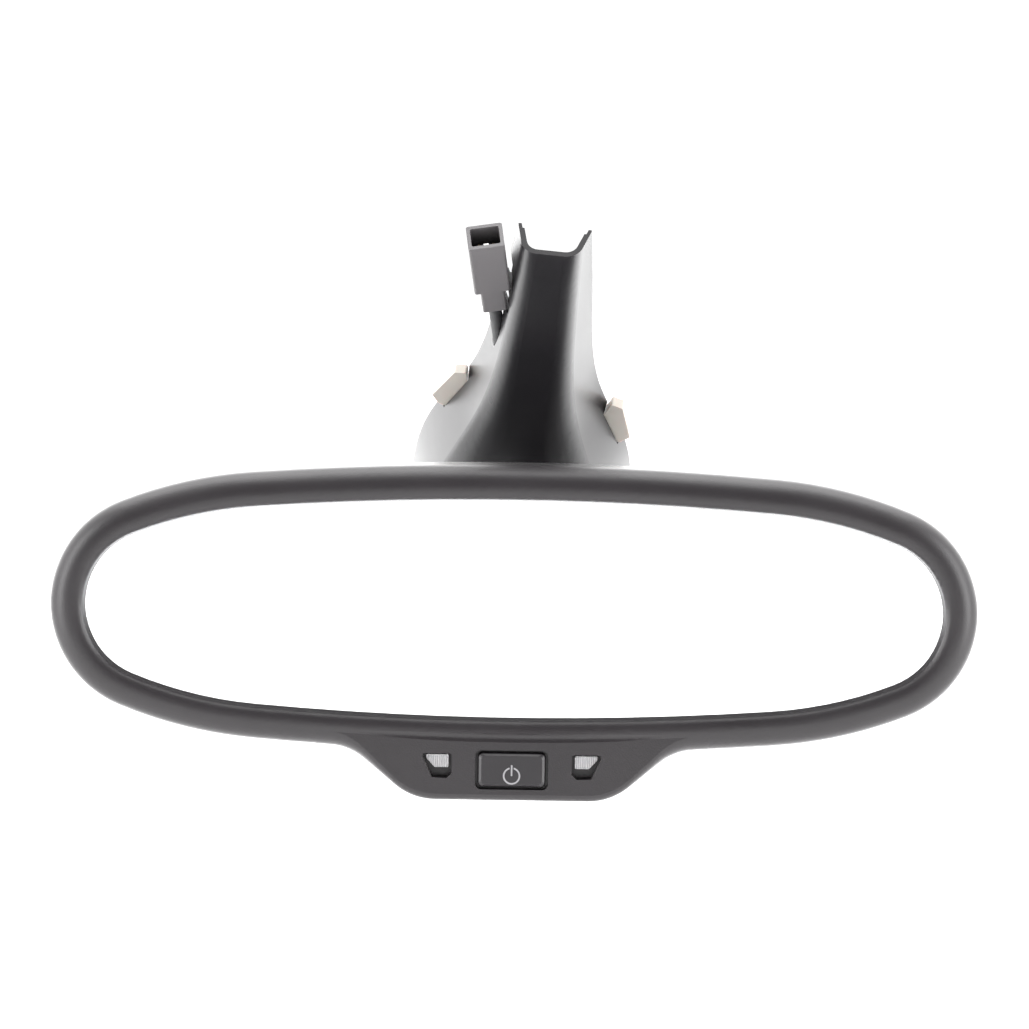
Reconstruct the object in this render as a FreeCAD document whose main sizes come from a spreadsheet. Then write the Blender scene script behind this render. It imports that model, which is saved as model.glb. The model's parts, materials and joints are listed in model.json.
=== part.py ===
"""Interior rearview mirror: a wide oval self-dimming head on a ball-jointed windscreen arm.

Millimetres, +Z up.  The origin is the centre of the foot's seat on the windscreen.  The
glass faces -Y and +X is to the viewer's right.  Two frames are used throughout:

head frame  origin at the centre of the glass face, x right, y back, z up;
seat frame  origin at the foot, x across, y up along the windscreen, z into the cabin.
"""
import FreeCAD, Part
import math
import os
import re
import Sketcher

V = FreeCAD.Vector
doc = FreeCAD.newDocument("interior_mirror")

# ---------------------------------------------------------------- driving dimensions
SIZES = {
    # glass opening: an oval of tangent arcs (end, shoulder, crown)
    "opening_half_width": 113.5,
    "opening_half_height": 28.8,
    "end_arc_radius": 19.9,
    "end_arc_angle": 68.0,
    "shoulder_arc_angle": 85.5,
    # front bezel and rear housing
    "rim_width": 9.5,
    "rim_height": 4.4,
    "shell_wall": 2.0,
    "seam_depth": 8.0,
    "seam_gap": 0.4,
    "seam_step": 0.2,
    "head_depth": 36.5,
    "plateau_inset": 16.0,
    "vent_width": 1.6,
    "vent_pitch": 4.0,
    "vent_height": 12.0,
    # mirror cell
    "glass_thickness": 2.0,
    "cell_gap": 0.4,
    "front_glass_margin": 1.8,
    "rear_glass_margin": 0.8,
    "cell_seal_width": 1.5,
    "pad_thickness": 0.8,
    "carrier_thickness": 1.8,
    "carrier_margin": 0.5,
    # pod with the button and the two lamp windows
    "pod_bottom": 50.9,
    "pod_shoulder_x": 43.3,
    "pod_shoulder_z": 37.4,
    "pod_corner_x": 26.6,
    "pod_top": 31.0,
    "pod_face": 4.1,
    "pod_depth": 25.0,
    "control_height": 42.3,
    "button_width": 17.9,
    "button_height": 9.1,
    "button_gap": 0.7,
    "button_travel": 0.8,
    "symbol_radius": 2.3,
    "symbol_stroke": 0.42,
    "lamp_spacing": 19.7,
    "lamp_height": 40.3,
    "lens_width": 6.1,
    "lens_height": 3.4,
    "lens_corner_cut": 2.3,
    # ball joint
    "ball_depth": 22.0,
    "ball_radius": 8.0,
    "neck_radius": 4.4,
    "bearing_wall": 0.95,
    "bearing_play": 0.05,
    "socket_radius": 14.0,
    "socket_opening_angle": 48.0,
    "flange_thickness": 2.0,
    # arm and windscreen foot
    "arm_radius": 6.0,
    "elbow_reach": 38.0,
    "elbow_radius": 13.0,
    "foot_radius": 12.5,
    "foot_height": 9.0,
    "foot_bore": 9.5,
    "foot_bore_depth": 4.0,
    "foot_spring_thickness": 0.6,
    # place of the head, seen from the foot, and the windscreen
    "head_x": -3.4,
    "head_y": -74.3,
    "head_z": -45.9,
    "screen_slope": 50.0,
    "stem_roll": 9.5,
    "stem_turn": 2.2,
    # stem cover and the bracket that holds it
    "cover_wall": 1.6,
    "cover_length": 86.5,
    "cover_bottom": -17.4,
    "cover_end_turn": 5.0,
    "lip_thickness": 1.1,
    "lip_height": 1.5,
    "bracket_thickness": 3.0,
    "bracket_turn": -5.3,
    # harness and connector
    "harness_radius": 1.8,
    "lead_radius": 1.2,
    "connector_width": 9.7,
    "connector_height": 8.0,
    "connector_length": 18.9,
    "connector_tail": 9.0,
    "connector_x": -14.85,
    "connector_y": 65.85,
    "connector_lean": 9.3,
    "connector_roll": 13.9,
    # control electronics
    "board_thickness": 1.6,
    "board_length": 54.0,
    "board_height": 26.0,
    "board_inner_edge": -38.0,
    "board_screw_inset": 3.0,
    "carrier_screw_inset": 16.5,
    "post_height": 2.6,
    "flange_depth": 12.0,
    "switch_board_depth": 8.0,
}

sheet = doc.addObject("Spreadsheet::Sheet", "Sizes")
for row, (alias, value) in enumerate(SIZES.items(), start=1):
    sheet.set(f"A{row}", alias.replace("_", " "))
    sheet.set(f"B{row}", str(value))
    sheet.setAlias(f"B{row}", alias)
doc.recompute()


def size(alias):
    """One driving dimension, read from the sheet."""
    return float(sheet.get(alias))


def ex(text):
    """A sheet expression from plain text: each driving dimension's name is looked up."""
    return re.sub(r"[a-z_]+", lambda m: "Sizes." + m[0] if m[0] in SIZES else m[0], str(text))


def evaluate(text):
    """The value, in millimetres, of a plain-text expression of driving dimensions."""
    return float(sheet.evalExpression(ex(text)))


# ---------------------------------------------------------------- frames
HEAD = FreeCAD.Placement(V(size("head_x"), size("head_y"), size("head_z")), FreeCAD.Rotation())
SCREEN = FreeCAD.Rotation(0, size("stem_roll"), 90 + size("screen_slope"))
SEAT = FreeCAD.Placement(V(), SCREEN * FreeCAD.Rotation(V(0, 0, 1), size("stem_turn")))


def in_head(piece):
    """Place a piece that is drawn in the head frame."""
    for axis in "xyz":
        piece.setExpression(f"Placement.Base.{axis}", f"Sizes.head_{axis}")
    return piece


def on_seat(piece):
    """Place a piece that is drawn in the seat frame."""
    screen = "placement(vector(0; 0; 0); rotation(0; Sizes.stem_roll; 90 + Sizes.screen_slope))"
    turn = "placement(vector(0; 0; 0); rotation(vector(0; 0; 1); Sizes.stem_turn))"
    piece.setExpression("Placement", f"{screen} * {turn}")
    return piece


def feature(label, shape):
    """A free-form piece whose shape comes from Part functions."""
    piece = doc.addObject("Part::Feature", label)
    piece.Label = label
    piece.Shape = shape
    return piece


# ---------------------------------------------------------------- outlines
def rounded_corners(points, radii):
    """Edges of a closed flat outline through the points, each corner rounded by its radius."""
    count = len(points)
    arcs = []
    for index, (corner, radius) in enumerate(zip(points, radii)):
        before = (points[index - 1] - corner).normalize()
        after = (points[(index + 1) % count] - corner).normalize()
        half_turn = before.getAngle(after) / 2
        reach = radius / math.tan(half_turn)
        middle = (before + after).normalize()
        crown = corner + middle * (radius / math.sin(half_turn) - radius)
        arcs.append((corner + before * reach, crown, corner + after * reach))
    edges = []
    for index, (start, crown, end) in enumerate(arcs):
        edges.append(Part.Arc(start, crown, end).toShape())
        edges.append(Part.LineSegment(end, arcs[(index + 1) % count][0]).toShape())
    return edges


def rounded_rectangle(width, height, radius, x=0.0, z=0.0, y=0.0):
    """Wire of a rounded rectangle that faces -Y, centred on x, z."""
    corners = [(-1, -1), (1, -1), (1, 1), (-1, 1)]
    points = [V(x + sx * width / 2, y, z + sz * height / 2) for sx, sz in corners]
    return Part.Wire(rounded_corners(points, [radius] * 4))


def shoulder_and_crown():
    """Radii of the oval's shoulder and crown arcs, which make the three arcs tangent."""
    end = math.radians(size("end_arc_angle"))
    shoulder = math.radians(size("shoulder_arc_angle"))
    radius = size("end_arc_radius")
    across = -size("opening_half_width") - radius * (math.cos(end) - 1)
    up = size("opening_half_height") - radius * math.sin(end)
    a, b = math.cos(shoulder) - math.cos(end), -math.cos(shoulder)
    c, d = math.sin(shoulder) - math.sin(end), 1 - math.sin(shoulder)
    scale = a * d - b * c
    return (across * d - b * up) / scale, (a * up - across * c) / scale


def oval_arcs(offset):
    """The eight arcs of the glass opening's oval grown by offset: (centre x, z, radius, from, to)."""
    end = math.radians(size("end_arc_angle"))
    shoulder = math.radians(size("shoulder_arc_angle"))
    end_radius = size("end_arc_radius")
    shoulder_radius, crown_radius = shoulder_and_crown()
    end_x = size("opening_half_width") - end_radius
    shoulder_x = end_x + (end_radius - shoulder_radius) * math.cos(end)
    shoulder_z = (end_radius - shoulder_radius) * math.sin(end)
    crown_z = shoulder_z + (shoulder_radius - crown_radius) * math.sin(shoulder)
    turn = math.pi
    return [
        (end_x, 0, end_radius + offset, -end, end),
        (shoulder_x, shoulder_z, shoulder_radius + offset, end, shoulder),
        (0, crown_z, crown_radius + offset, shoulder, turn - shoulder),
        (-shoulder_x, shoulder_z, shoulder_radius + offset, turn - shoulder, turn - end),
        (-end_x, 0, end_radius + offset, turn - end, turn + end),
        (-shoulder_x, -shoulder_z, shoulder_radius + offset, turn + end, turn + shoulder),
        (0, -crown_z, crown_radius + offset, turn + shoulder, 2 * turn - shoulder),
        (shoulder_x, -shoulder_z, shoulder_radius + offset, 2 * turn - shoulder, 2 * turn - end),
    ]


def oval_wire(offset, y=0.0):
    """The oval as a wire in the head frame, at depth y."""
    edges = []
    for x, z, radius, start, stop in oval_arcs(offset):
        angles = (start, (start + stop) / 2, stop)
        points = [V(x + radius * math.cos(a), y, z + radius * math.sin(a)) for a in angles]
        edges.append(Part.Arc(*points).toShape())
    return Part.Wire(edges)


def oval_plate(offset, front, thickness):
    """A flat plate with the oval's outline."""
    return Part.Face(oval_wire(offset, front)).extrude(V(0, thickness, 0))


def rim_profile(parts):
    """A closed profile across the rim.  Each part is a list of (offset, depth) points: two
    make a line and four a curve.  It stands where the oval starts, square to it."""
    angle = -math.radians(size("end_arc_angle"))
    outward = V(math.cos(angle), 0, math.sin(angle))
    radius = size("end_arc_radius")
    start = V(size("opening_half_width") - radius, 0, 0) + outward * radius
    edges = []
    for part in parts:
        points = [start + outward * offset + V(0, depth, 0) for offset, depth in part]
        if len(points) == 2:
            edges.append(Part.LineSegment(*points).toShape())
        else:
            curve = Part.BezierCurve()
            curve.setPoles(points)
            edges.append(curve.toShape())
    return Part.Face(Part.Wire(edges))


def around_rim(parts):
    """The solid ring that a rim profile makes round the oval."""
    return oval_wire(0.0).makePipe(rim_profile(parts))


def pod_wire(top, y, inset=0.0, shoulder_lift=0.0, bottom_lift=0.0):
    """Outline of the pod under the head: flared shoulders, flat bottom, large corner radii.
    The lifts raise its shoulders and its bottom; the inset shrinks the whole outline."""
    shoulder_x = size("pod_shoulder_x")
    shoulder_z = size("pod_shoulder_z") - shoulder_lift
    bottom = size("pod_bottom") - bottom_lift
    tail = 9.0
    right = [(shoulder_x + tail, -top), (shoulder_x + tail, -shoulder_z + 0.6)]
    right += [(shoulder_x, -shoulder_z), (size("pod_corner_x"), -bottom)]
    radii = [0.5, 0.5, 15.0, 17.0]
    points = [V(x, y, z) for x, z in right] + [V(-x, y, z) for x, z in reversed(right)]
    wire = Part.Wire(rounded_corners(points, radii + radii[::-1]))
    return wire.makeOffset2D(-inset) if inset else wire


# ---------------------------------------------------------------- features made in a body
def new_body(label):
    piece = doc.addObject("PartDesign::Body", label)
    piece.Label = label
    return piece


def drawing(piece, name, role, x, y, lift):
    """A sketch on one of the body's own planes, moved by expressions."""
    plane = [item for item in piece.Origin.OriginFeatures if item.Role == role][0]
    sketch = piece.newObject("Sketcher::SketchObject", name)
    sketch.AttachmentSupport = [(plane, "")]
    sketch.MapMode = "FlatFace"
    for axis, text in (("x", x), ("y", y), ("z", lift)):
        sketch.setExpression(f"AttachmentOffset.Base.{axis}", ex(text))
    return sketch


def draw_rectangle(sketch, width, height):
    half_width, half_height = evaluate(width) / 2, evaluate(height) / 2
    corners = [(-1, -1), (1, -1), (1, 1), (-1, 1)]
    points = [V(sx * half_width, sy * half_height, 0) for sx, sy in corners]
    for index in range(4):
        sketch.addGeometry(Part.LineSegment(points[index], points[(index + 1) % 4]), False)
    for index in range(4):
        sketch.addConstraint(Sketcher.Constraint("Coincident", index, 2, (index + 1) % 4, 1))
    for index in (0, 2):
        sketch.addConstraint(Sketcher.Constraint("Horizontal", index))
        sketch.addConstraint(Sketcher.Constraint("Vertical", index + 1))
    sketch.addConstraint(Sketcher.Constraint("Symmetric", 0, 1, 1, 2, -1, 1))
    across = sketch.addConstraint(Sketcher.Constraint("DistanceX", 0, 1, 0, 2, 2 * half_width))
    upward = sketch.addConstraint(Sketcher.Constraint("DistanceY", 1, 1, 1, 2, 2 * half_height))
    sketch.setExpression(f"Constraints[{across}]", ex(width))
    sketch.setExpression(f"Constraints[{upward}]", ex(height))


def draw_disc(sketch, radius):
    sketch.addGeometry(Part.Circle(V(), V(0, 0, 1), evaluate(radius)), False)
    sketch.addConstraint(Sketcher.Constraint("Coincident", 0, 3, -1, 1))
    held = sketch.addConstraint(Sketcher.Constraint("Radius", 0, evaluate(radius)))
    sketch.setExpression(f"Constraints[{held}]", ex(radius))


def draw_oval(sketch, offset):
    for x, z, radius, start, stop in oval_arcs(evaluate(offset)):
        circle = Part.Circle(V(x, z, 0), V(0, 0, 1), radius)
        sketch.addGeometry(Part.ArcOfCircle(circle, start, stop), False)


def slab(piece, outline, front, depth, x="0", z="0", cut=False):
    """Pad or pocket an outline that faces the viewer, from front back by depth (head frame)."""
    kind = "Pocket" if cut else "Pad"
    number = len(piece.Group)
    sketch = drawing(piece, f"{piece.Label}_outline_{number}", "XZ_Plane", x, z, f"-1*({front})")
    draw, *sizes = outline
    draw(sketch, *sizes)
    step = piece.newObject(f"PartDesign::{kind}", f"{piece.Label}_{kind.lower()}_{number}")
    step.Profile = sketch
    step.setExpression("Length", ex(depth))
    step.Reversed = not cut
    sketch.Visibility = False
    return step


def seat_slab(piece, outline, front, depth, x="0", y="0", cut=False):
    """Pad or pocket an outline that lies along the windscreen (seat frame)."""
    kind = "Pocket" if cut else "Pad"
    number = len(piece.Group)
    sketch = drawing(piece, f"{piece.Label}_outline_{number}", "XY_Plane", x, y, front)
    draw, *sizes = outline
    draw(sketch, *sizes)
    step = piece.newObject(f"PartDesign::{kind}", f"{piece.Label}_{kind.lower()}_{number}")
    step.Profile = sketch
    step.setExpression("Length", ex(depth))
    step.Reversed = cut
    sketch.Visibility = False
    return step


# ---------------------------------------------------------------- Part primitives
def box(name, width, depth, height, x, y, z):
    """A box centred on x and z whose front face is at y (head frame)."""
    piece = doc.addObject("Part::Box", name)
    piece.setExpression("Length", ex(width))
    piece.setExpression("Width", ex(depth))
    piece.setExpression("Height", ex(height))
    piece.setExpression("Placement.Base.x", ex(f"{x} - ({width}) / 2"))
    piece.setExpression("Placement.Base.y", ex(y))
    piece.setExpression("Placement.Base.z", ex(f"{z} - ({height}) / 2"))
    return piece


def rod(name, radius, length, x, y, z):
    """A cylinder that runs back along +Y from the point x, y, z (head frame)."""
    piece = doc.addObject("Part::Cylinder", name)
    piece.setExpression("Radius", ex(radius))
    piece.setExpression("Height", ex(length))
    where = f"vector({ex(x)}; {ex(y)}; {ex(z)})"
    piece.setExpression("Placement", f"placement({where}; rotation(0; 0; -90))")
    return piece


def fuse(label, pieces):
    joined = doc.addObject("Part::MultiFuse", label)
    joined.Label = label
    joined.Shapes = pieces
    return joined


def cut(label, base, tool):
    result = doc.addObject("Part::Cut", label)
    result.Label = label
    result.Base = base
    result.Tool = tool
    return result


def group(label, pieces):
    together = doc.addObject("Part::Compound", label)
    together.Label = label
    together.Links = pieces
    return together


def screws(label, spots, under_head, points_back, head, shank):
    """Cross-head screws, one per (x, z) spot.  head and shank are (radius, length)."""
    made = []
    for index, (x, z) in enumerate(spots):
        name = f"{label}_{index}"
        back_of_head = f"{under_head} - {head[1]}" if points_back else under_head
        shank_start = under_head if points_back else f"{under_head} - {shank[1]}"
        top = rod(f"{name}_head", head[0], head[1], x, back_of_head, z)
        stem = rod(f"{name}_shank", shank[0], shank[1], x, shank_start, z)
        slot_depth = 0.5 * head[1]
        slot_front = f"{under_head} - {head[1]}" if points_back else f"{under_head} + {slot_depth}"
        slots = [
            box(f"{name}_slot_a", head[0], slot_depth, 0.5, x, slot_front, z),
            box(f"{name}_slot_b", 0.5, slot_depth, head[0], x, slot_front, z),
        ]
        cross = fuse(f"{name}_cross", slots)
        made.append(cut(f"{name}_body", fuse(f"{name}_blank", [top, stem]), cross))
    return in_head(group(label, made))


# Depths of the stack behind the glass face, as plain expressions.
CELL_BACK = "2 * glass_thickness + cell_gap"
CARRIER_FRONT = CELL_BACK + " + pad_thickness"
CARRIER_BACK = CARRIER_FRONT + " + carrier_thickness"
BOARD_FRONT = CARRIER_BACK + " + post_height"
BOARD_BACK = BOARD_FRONT + " + board_thickness"
SPRING_FLOOR = "foot_bore_depth + foot_spring_thickness + 0.1"

SIGNS = [(sx, sz) for sx in (-1, 1) for sz in (-1, 1)]
BOARD_X = "(board_inner_edge - board_length / 2)"
BOARD_END = size("board_length") - size("board_inner_edge")
SCREW_ROOM = 5.0
# the outer screws stand near the oval's ends, and clear of the board's end
OUTER_SCREW_X = max(size("opening_half_width") - size("carrier_screw_inset"), BOARD_END + SCREW_ROOM)
CARRIER_SCREWS = [(sx * x, sz * z) for x, z in ((OUTER_SCREW_X, 6), (32, 9)) for sx, sz in SIGNS]
SOCKET_SCREWS = [(sx * 21, sz * 9) for sx, sz in SIGNS]
BOARD_SCREW_X = size("board_length") / 2 - size("board_screw_inset")
BOARD_SCREW_Z = size("board_height") / 2 - size("board_screw_inset")
BOARD_SCREWS = [(evaluate(BOARD_X) + sx * BOARD_SCREW_X, sz * BOARD_SCREW_Z) for sx, sz in SIGNS]
SENSOR_SPOT = (evaluate(BOARD_X) + 7, 6.0)
LIGHT_PIPE_SPOT = (evaluate(BOARD_X) + 5, 0.0)
PLUG_WIDTH = 7.0


# ---------------------------------------------------------------- head shells
def lamp_prism(side, spread, front, depth):
    """A prism with the lamp window's outline, whose lower outer corner is cut away.
    Spread widens the outline all round."""
    half, high = size("lens_width") / 2, size("lens_height") / 2
    cut_across, cut_up = size("lens_corner_cut"), 0.72 * size("lens_height")
    corners = [
        (-half - spread, high + spread),
        (half + spread, high + spread),
        (half + spread, cut_up - high - 0.4 * spread),
        (half - cut_across + 0.4 * spread, -high - spread),
        (-half - spread, -high - spread),
    ]
    middle, level = side * size("lamp_spacing"), -size("lamp_height")
    points = [V(middle + side * x, front, level + z) for x, z in corners]
    outline = Part.Wire(rounded_corners(points, [0.4, 0.3, 0.6, 0.6, 0.6]))
    return Part.Face(outline).extrude(V(0, depth, 0))


def make_front_bezel():
    rim, crest, wall = size("rim_width"), size("rim_height"), size("shell_wall")
    seam, face = size("seam_depth"), size("pod_face")
    inner = rim - wall
    ring = around_rim([
        [(0, 0), (0.6, -0.6 * crest)],
        [(0.6, -0.6 * crest), (1.0, -1.27 * crest), (rim, -1.23 * crest), (rim, 2.5)],
        [(rim, 2.5), (rim, seam)],
        [(rim, seam), (inner, seam)],
        [(inner, seam), (inner, 2.5)],
        [(inner, 2.5), (inner, -0.77 * crest), (2.8, -0.73 * crest), (2.4, 0)],
        [(2.4, 0), (0, 0)],
    ])
    # the pod's edge rounds off like the rim at its shoulders and more tightly at its bottom
    rounding = [(0.0, 4.4, 2.0), (0.5, 3.0, 1.0), (1.4, 1.9, 0.35), (2.75, 0.9, 0.05), (4.5, 0.24, 0.0),
                (6.6, 0.0, 0.0)]
    top = size("pod_top")
    wires = [pod_wire(top, depth - face, 0.0, shoulder, bottom) for depth, shoulder, bottom in rounding]
    pod = Part.makeLoft(wires, True, False)
    side_front = rounding[-1][0] - face
    pod = pod.fuse(Part.Face(pod_wire(top, side_front)).extrude(V(0, seam - side_front, 0)))
    hollow = Part.Face(pod_wire(top, wall - face, wall, 2.4)).extrude(V(0, face + seam, 0))
    shell = ring.fuse(pod).cut(hollow)
    shell = shell.cut(Part.Face(pod_wire(top, 0.5, wall)).extrude(V(0, face + seam, 0)))

    # a soft cove parts the rim from the pod's face and runs out at both ends
    cove_radius, cove_depth, cove_offset = 1.6, 0.45, 5.1
    reach = size("pod_shoulder_x") - 3
    crown_radius = shoulder_and_crown()[1]
    rise = reach ** 2 / (2 * (crown_radius + cove_offset))
    middle = V(0, cove_depth - face - cove_radius, -size("opening_half_height") - cove_offset)
    drift = V(0, -1.2 * cove_depth, rise)
    poles = [middle + drift - V(reach, 0, 0), middle - drift, middle + drift + V(reach, 0, 0)]
    path = Part.BezierCurve()
    path.setPoles(poles)
    rounding_tool = Part.Wire(Part.Circle(poles[0], poles[1] - poles[0], cove_radius).toShape())
    shell = shell.cut(Part.Wire(path.toShape()).makePipeShell([rounding_tool], True, False))

    height = -size("control_height")
    gap = size("button_gap")
    window = rounded_rectangle(
        size("button_width") + 2 * gap, size("button_height") + 2 * gap, 1.6, 0, height, -10)
    shell = shell.cut(Part.Face(window).extrude(V(0, 14, 0)))

    # lamp pockets: a five-sided recess with the lens window in its upper part
    for side in (-1, 1):
        middle = side * size("lamp_spacing")
        boss = Part.makeBox(10.4, 3.6, 9.6, V(middle - 5.2, wall - face - 0.1, height - 3.8))
        corners = [(-3.8, 4.2), (3.9, 4.2), (3.9, 3.2), (1.4, -2.2), (-2.4, -2.4), (-3.8, -1.1)]
        points = [V(middle + side * x, -10, height + z) for x, z in corners]
        pocket = Part.Face(Part.Wire(rounded_corners(points, [0.4] * 6)))
        pocket = pocket.extrude(V(0, 10 - face + 2.6, 0))
        shell = shell.fuse(boss).cut(pocket).cut(lamp_prism(side, 0.1, -10, 20))
    return in_head(feature("front_bezel", shell.removeSplitter()))


def make_rear_housing():
    rim, wall = size("rim_width"), size("shell_wall")
    front = size("seam_depth") + size("seam_gap")
    outer = rim - size("seam_step")
    inner = outer - wall
    back, plate = size("head_depth"), size("head_depth") - size("shell_wall")
    inset = -size("plateau_inset")
    tongue = rim - wall - 0.2
    ring = around_rim([
        [(outer, front), (tongue, front)],
        [(tongue, front), (tongue, front - 2)],
        [(tongue, front - 2), (tongue - 1.4, front - 2)],
        [(tongue - 1.4, front - 2), (tongue - 1.4, front + 3)],
        [(tongue - 1.4, front + 3), (inner, front + 4.6)],
        [(inner, front + 4.6), (inner, 0.7 * back), (-3.2, plate), (inset, plate)],
        [(inset, plate), (inset, back)],
        [(inset, back), (-2.0, back), (outer, 0.71 * back), (outer, front + 4.6)],
        [(outer, front + 4.6), (outer, front)],
    ])
    shell = ring.fuse(oval_plate(inset, plate, wall))

    def pod_loft(extra, start, stop):
        steps = [(start, 0.0), (start + 8, 0.8), (stop - 3, 3.2), (stop, 6.5)]
        wires = [pod_wire(size("pod_top") - 6, y, extra + inset_here) for y, inset_here in steps]
        return Part.makeLoft(wires, True, False)

    depth = size("pod_depth")
    reach = size("pod_shoulder_x") + 10
    tongue_gap = Part.makeBox(2 * reach, 10, 40, V(-reach, front - 10, -size("pod_top") - 39))
    shell = shell.cut(tongue_gap).fuse(pod_loft(0.0, front, depth))
    shell = shell.cut(pod_loft(wall, front - 3, depth - wall))

    # screw bosses for the glass carrier
    boss_radius, pilot_radius, pilot_depth = 3.2, 1.2, 10
    carrier_back = evaluate(CARRIER_BACK)
    for x, z in CARRIER_SCREWS:
        seat = V(x, carrier_back, z)
        boss = Part.makeCylinder(boss_radius, plate - carrier_back + 0.4, seat, V(0, 1, 0))
        pilot = Part.makeCylinder(pilot_radius, pilot_depth, seat, V(0, 1, 0))
        shell = shell.fuse(boss).cut(pilot)

    # opening for the arm, with an inner collar
    collar_radius, mouth_radius, throat_radius = 12.2, 11.0, 8.6
    collar = Part.makeCylinder(collar_radius, 3.2, V(0, plate - 3, 0), V(0, 1, 0))
    opening = Part.makeCone(throat_radius, mouth_radius, 8, V(0, back - 7, 0), V(0, 1, 0))
    shell = shell.fuse(collar).cut(opening)

    # cooling slots each side and the hole for the ambient light pipe
    width, height = size("vent_width"), size("vent_height")
    slot_count, right_row_start, left_row_end = 6, 68, -24
    for first in (left_row_end - (slot_count - 1) * size("vent_pitch"), right_row_start):
        for index in range(slot_count):
            x = first + index * size("vent_pitch")
            slot = Part.Face(rounded_rectangle(width, height, 0.45 * width, x, 0, plate - 2))
            shell = shell.cut(slot.extrude(V(0, 6, 0)))
    x, z = LIGHT_PIPE_SPOT
    shell = shell.cut(Part.makeCylinder(4.3, 9, V(x, plate - 3, z), V(0, 1, 0)))
    return in_head(feature("rear_housing", shell.removeSplitter()))


# ---------------------------------------------------------------- mirror cell
def make_glass_cell():
    front = new_body("mirror_front_glass")
    slab(front, (draw_oval, "front_glass_margin"), "0", "glass_thickness")
    in_head(front)
    gap_front, gap = size("glass_thickness"), size("cell_gap")
    rear = new_body("mirror_rear_glass")
    slab(rear, (draw_oval, "rear_glass_margin"), "glass_thickness + cell_gap", "glass_thickness")
    in_head(rear)

    seal_outside = size("rear_glass_margin") - 0.4
    seal_inside = seal_outside - size("cell_seal_width")
    seal = oval_plate(seal_outside, gap_front, gap).cut(oval_plate(seal_inside, gap_front, gap))
    in_head(feature("cell_seal", seal))
    in_head(feature("electrochromic_gel", oval_plate(seal_inside, gap_front, gap)))

    clip_front = gap_front + 0.1
    clip_depth = evaluate(CELL_BACK) + 0.5 - clip_front
    band = oval_plate(size("front_glass_margin") - 0.2, clip_front, clip_depth)
    band = band.cut(oval_plate(size("rear_glass_margin") + 0.05, clip_front, clip_depth))
    reach = 0.75 * size("opening_half_width")
    for name, base in (("bus_clip_upper", 0.0), ("bus_clip_lower", -60.0)):
        half = Part.makeBox(2 * reach, 20, 60, V(-reach, -5, base))
        in_head(feature(name, band.common(half)))


def make_glass_pad():
    pad = new_body("glass_pad")
    slab(pad, (draw_oval, "0.3"), CELL_BACK, "pad_thickness")
    x, z = SENSOR_SPOT
    slab(pad, (draw_disc, "3"), CELL_BACK, "pad_thickness", x, z, cut=True)
    in_head(pad)


def make_glass_carrier():
    carrier = new_body("glass_carrier")
    slab(carrier, (draw_oval, "carrier_margin"), CARRIER_FRONT, "carrier_thickness")
    for x, z in SOCKET_SCREWS:
        slab(carrier, (draw_disc, "3"), CARRIER_BACK, f"flange_depth - ({CARRIER_BACK})", x, z)
        slab(carrier, (draw_disc, "1.1"), f"{CARRIER_BACK} + 0.6", "10", x, z, cut=True)
    for x, z in BOARD_SCREWS:
        slab(carrier, (draw_disc, "2.6"), CARRIER_BACK, "post_height", x, z)
        slab(carrier, (draw_disc, "1.0"), CARRIER_BACK, "post_height", x, z, cut=True)
    for x, z in CARRIER_SCREWS:
        slab(carrier, (draw_disc, "2.9"), CARRIER_FRONT, "1.3", x, z, cut=True)
        slab(carrier, (draw_disc, "1.4"), CARRIER_FRONT, "carrier_thickness", x, z, cut=True)
    x, z = SENSOR_SPOT
    slab(carrier, (draw_disc, "3"), CARRIER_FRONT, "carrier_thickness", x, z, cut=True)
    for sx, sz in SIGNS:
        slab(carrier, (draw_rectangle, "60", "1.6"), CARRIER_BACK, "2.2", sx * 62, sz * 18)
    in_head(carrier)


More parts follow.
